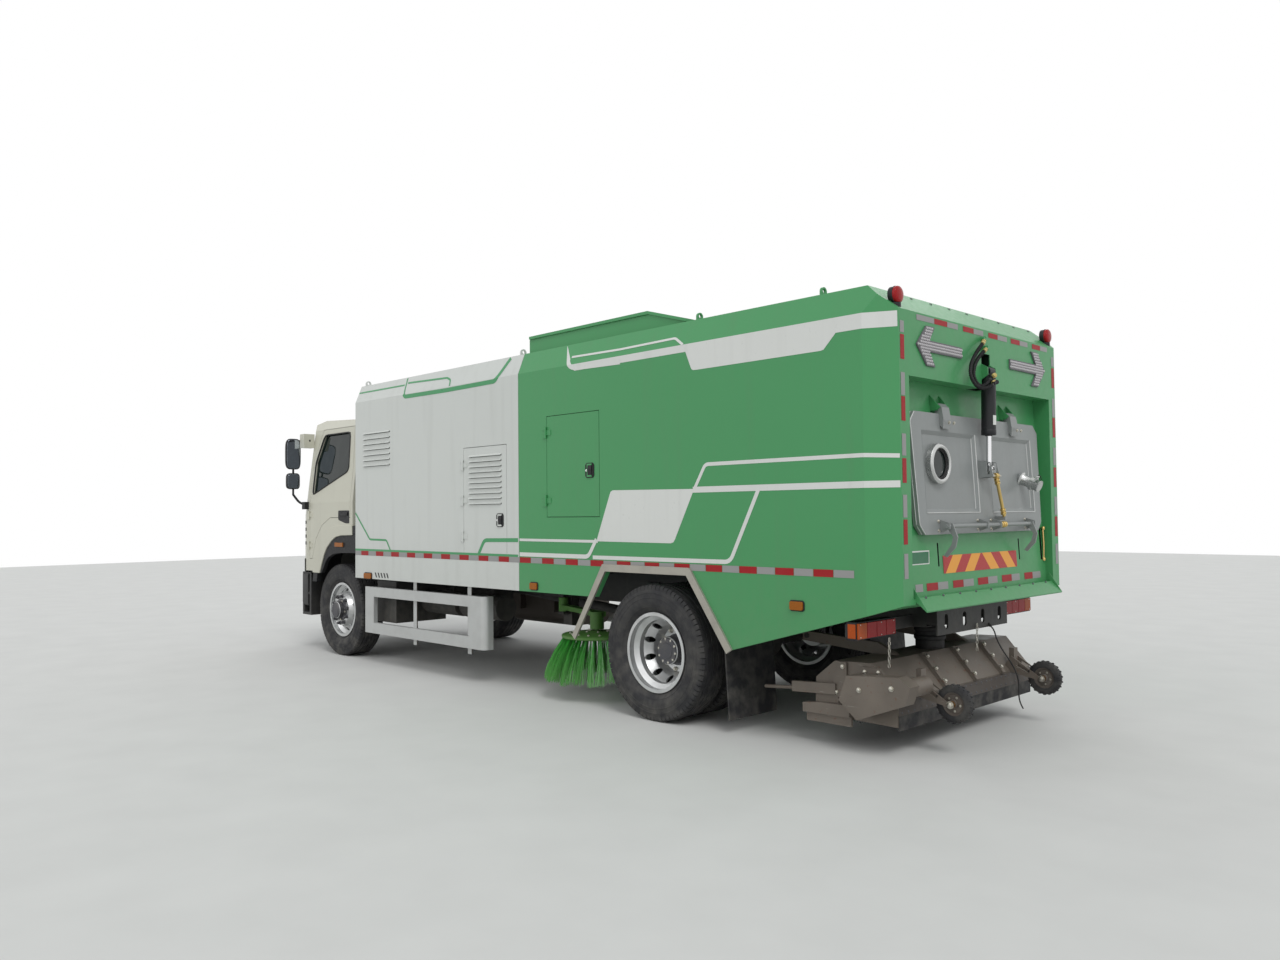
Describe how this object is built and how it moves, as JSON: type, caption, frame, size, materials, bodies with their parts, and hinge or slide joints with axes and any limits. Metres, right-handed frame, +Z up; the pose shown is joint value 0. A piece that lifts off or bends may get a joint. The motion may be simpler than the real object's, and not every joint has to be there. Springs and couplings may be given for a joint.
{
  "type": "street sweeper truck",
  "caption": "Street sweeper truck: cab-over chassis with an engine enclosure, debris tank with top-hung tail door, side brooms and a rear broom unit.",
  "frame": {"origin": "on the ground, midway along the length and the width", "axes": "+X forwards, +Y to the left side, +Z up"},
  "size_m": [8.64, 2.8, 3.116],
  "materials": {
    "aluminium": "brushed",
    "black_plastic": "grained",
    "bristle_green": "fibres",
    "cab_paint": "gloss",
    "cast_grey": "rough",
    "chrome": "polished",
    "dark_steel": "satin",
    "door_grey": "satin",
    "glass": "clear",
    "green_paint": "gloss",
    "lamp_red": "clear",
    "rubber": "matt",
    "seat_cloth": "woven",
    "silver_wheel": "satin",
    "tyre": "rough",
    "unit_brown": "satin",
    "white_paint": "gloss"
  },
  "bodies": {
    "chassis": {"air_reservoirs": "dark_steel", "arch_trims": "silver_wheel", "battery_box": "dark_steel", "chassis_frame": "dark_steel", "debris_tank": "green_paint", "drive_shaft": "dark_steel", "engine_block": "cast_grey", "engine_enclosure": "white_paint", "front_axle": "cast_grey", "front_bumper": "black_plastic", "fuel_tank": "aluminium", "hanging_cable": "rubber", "mud_flaps": "rubber", "rear_axle": "cast_grey", "side_guards": "aluminium", "tail_hose_lower": "rubber", "tail_hose_upper": "rubber", "tail_lamps": "lamp_red"},
    "knuckle_left": {"knuckle_left": "cast_grey"},
    "knuckle_right": {"knuckle_right": "cast_grey"},
    "track_rod": {"track_rod": "dark_steel"},
    "front_wheel_left": {"front_rim_left": "silver_wheel", "front_tyre_left": "tyre"},
    "front_wheel_right": {"front_rim_right": "silver_wheel", "front_tyre_right": "tyre"},
    "rear_wheels_left": {"rear_rims_left": "silver_wheel", "rear_tyres_left": "tyre"},
    "rear_wheels_right": {"rear_rims_right": "silver_wheel", "rear_tyres_right": "tyre"},
    "cab": {"cab_shell": "cab_paint", "cab_glass": "glass", "cab_seats": "seat_cloth", "dashboard": "black_plastic", "mirrors": "black_plastic", "front_fenders": "black_plastic"},
    "cab_door_left": {"cab_door_left": "cab_paint", "door_glass_left": "glass"},
    "cab_door_right": {"cab_door_right": "cab_paint", "door_glass_right": "glass"},
    "steering_wheel": {"steering_wheel": "black_plastic"},
    "tank_door": {"tank_door": "door_grey", "porthole_glass": "glass"},
    "latch_bar": {"latch_bar": "door_grey"},
    "lift_barrel": {"lift_barrel": "dark_steel"},
    "lift_rod": {"lift_rod": "chrome"},
    "louvre_door_left": {"louvre_door_left": "white_paint"},
    "louvre_door_right": {"louvre_door_right": "white_paint"},
    "locker_door_left": {"locker_door_left": "green_paint"},
    "locker_door_right": {"locker_door_right": "green_paint"},
    "roof_hatch": {"roof_hatch": "green_paint"},
    "broom_arm_left": {"broom_arm_left": "dark_steel"},
    "broom_arm_right": {"broom_arm_right": "dark_steel"},
    "side_brush_left": {"side_brush_left": "bristle_green"},
    "side_brush_right": {"side_brush_right": "bristle_green"},
    "rear_unit": {"broom_hood": "unit_brown", "suction_duct": "rubber"},
    "gauge_wheel_left": {"gauge_wheel_left": "rubber"},
    "gauge_wheel_right": {"gauge_wheel_right": "rubber"},
    "roller_brush": {"roller_brush": "bristle_green"}
  },
  "joints": [
    {"name": "steer_left", "type": "hinge", "parent": "chassis", "child": "knuckle_left", "pos_m": [2.92, 0.85, 0.505], "axis": [0, 0, 1], "range_deg": [-36, 36]},
    {"name": "steer_right", "type": "hinge", "parent": "chassis", "child": "knuckle_right", "pos_m": [2.92, -0.85, 0.505], "axis": [0, 0, 1], "range_deg": [-36, 36]},
    {"name": "track_rod_pivot", "type": "hinge", "parent": "knuckle_left", "child": "track_rod", "pos_m": [2.69, 0.85, 0.392], "axis": [0, 0, 1], "range_deg": [-36, 36]},
    {"name": "front_wheel_left_spin", "type": "hinge", "parent": "knuckle_left", "child": "front_wheel_left", "pos_m": [2.92, 0.995, 0.505], "axis": [0, 1, 0], "continuous": true},
    {"name": "front_wheel_right_spin", "type": "hinge", "parent": "knuckle_right", "child": "front_wheel_right", "pos_m": [2.92, -0.995, 0.505], "axis": [0, 1, 0], "continuous": true},
    {"name": "rear_wheels_left_spin", "type": "hinge", "parent": "chassis", "child": "rear_wheels_left", "pos_m": [-2.08, 1.085, 0.505], "axis": [0, 1, 0], "continuous": true},
    {"name": "rear_wheels_right_spin", "type": "hinge", "parent": "chassis", "child": "rear_wheels_right", "pos_m": [-2.08, -1.085, 0.505], "axis": [0, 1, 0], "continuous": true},
    {"name": "cab_tilt", "type": "hinge", "parent": "chassis", "child": "cab", "pos_m": [4.15, 0, 0.985], "axis": [0, 1, 0], "range_deg": [0, 45]},
    {"name": "cab_door_left_hinge", "type": "hinge", "parent": "cab", "child": "cab_door_left", "pos_m": [3.552, 1.1905, 1.6], "axis": [0, 0, -1], "range_deg": [0, 65]},
    {"name": "cab_door_right_hinge", "type": "hinge", "parent": "cab", "child": "cab_door_right", "pos_m": [3.552, -1.1905, 1.6], "axis": [0, 0, 1], "range_deg": [0, 65]},
    {"name": "steering_wheel_turn", "type": "hinge", "parent": "cab", "child": "steering_wheel", "pos_m": [3.62, 0.54, 1.77], "axis": [-0.5736, 0, 0.8192], "range_deg": [-540, 540]},
    {"name": "tank_door_hinge", "type": "hinge", "parent": "chassis", "child": "tank_door", "pos_m": [-4.056, 0, 2.212], "axis": [0, 1, 0], "range_deg": [0, 60]},
    {"name": "lift_barrel_pivot", "type": "hinge", "parent": "chassis", "child": "lift_barrel", "pos_m": [-4.144, 0, 2.483], "axis": [0, 1, 0], "range_deg": [0, 37.8]},
    {"name": "lift_rod_slide", "type": "slide", "parent": "lift_barrel", "child": "lift_rod", "axis": [-0.0182, 0, 0.9998], "range_m": [0, 0.1702]},
    {"name": "latch_bar_turn", "type": "hinge", "parent": "tank_door", "child": "latch_bar", "pos_m": [-4.15, 0, 1.44], "axis": [0, 1, 0], "range_deg": [0, 30]},
    {"name": "louvre_door_left_hinge", "type": "hinge", "parent": "chassis", "child": "louvre_door_left", "pos_m": [0.367, 1.2305, 1.673], "axis": [0, 0, -1], "range_deg": [0, 110]},
    {"name": "louvre_door_right_hinge", "type": "hinge", "parent": "chassis", "child": "louvre_door_right", "pos_m": [0.367, -1.2305, 1.673], "axis": [0, 0, 1], "range_deg": [0, 110]},
    {"name": "locker_door_left_hinge", "type": "hinge", "parent": "chassis", "child": "locker_door_left", "pos_m": [-0.853, 1.2305, 1.937], "axis": [0, 0, -1], "range_deg": [0, 110]},
    {"name": "locker_door_right_hinge", "type": "hinge", "parent": "chassis", "child": "locker_door_right", "pos_m": [-0.853, -1.2305, 1.937], "axis": [0, 0, 1], "range_deg": [0, 110]},
    {"name": "roof_hatch_hinge", "type": "hinge", "parent": "chassis", "child": "roof_hatch", "pos_m": [-0.48, 0, 3.108], "axis": [0, 1, 0], "range_deg": [0, 50]},
    {"name": "broom_arm_left_swing", "type": "hinge", "parent": "chassis", "child": "broom_arm_left", "pos_m": [-0.27, 0.56, 0.7], "axis": [0, 0, -1], "range_deg": [0, 35]},
    {"name": "broom_arm_right_swing", "type": "hinge", "parent": "chassis", "child": "broom_arm_right", "pos_m": [-0.27, -0.56, 0.7], "axis": [0, 0, 1], "range_deg": [0, 35]},
    {"name": "side_brush_left_spin", "type": "hinge", "parent": "broom_arm_left", "child": "side_brush_left", "pos_m": [-1, 0.8, 0.55], "axis": [0, 0, 1], "continuous": true},
    {"name": "side_brush_right_spin", "type": "hinge", "parent": "broom_arm_right", "child": "side_brush_right", "pos_m": [-1, -0.8, 0.55], "axis": [0, 0, 1], "continuous": true},
    {"name": "rear_unit_lift", "type": "hinge", "parent": "chassis", "child": "rear_unit", "pos_m": [-2.96, 0, 0.64], "axis": [0, -1, 0], "range_deg": [0, 8]},
    {"name": "gauge_wheel_left_spin", "type": "hinge", "parent": "rear_unit", "child": "gauge_wheel_left", "pos_m": [-4.198, 0.66, 0.33], "axis": [0, 1, 0], "continuous": true},
    {"name": "gauge_wheel_right_spin", "type": "hinge", "parent": "rear_unit", "child": "gauge_wheel_right", "pos_m": [-4.198, -0.66, 0.33], "axis": [0, 1, 0], "continuous": true},
    {"name": "roller_brush_spin", "type": "hinge", "parent": "rear_unit", "child": "roller_brush", "pos_m": [-3.64, 0, 0.345], "axis": [0, 1, 0], "continuous": true}
  ],
  "couplings": [
    {"joint": "steer_right", "follows": "steer_left", "ratio": 1},
    {"joint": "track_rod_pivot", "follows": "steer_left", "ratio": -1},
    {"joint": "steering_wheel_turn", "follows": "steer_left", "ratio": 14},
    {"joint": "lift_barrel_pivot", "follows": "tank_door_hinge", "ratio": 0.61263},
    {"joint": "lift_rod_slide", "follows": "tank_door_hinge", "m_per_rad": 0.16063}
  ]
}
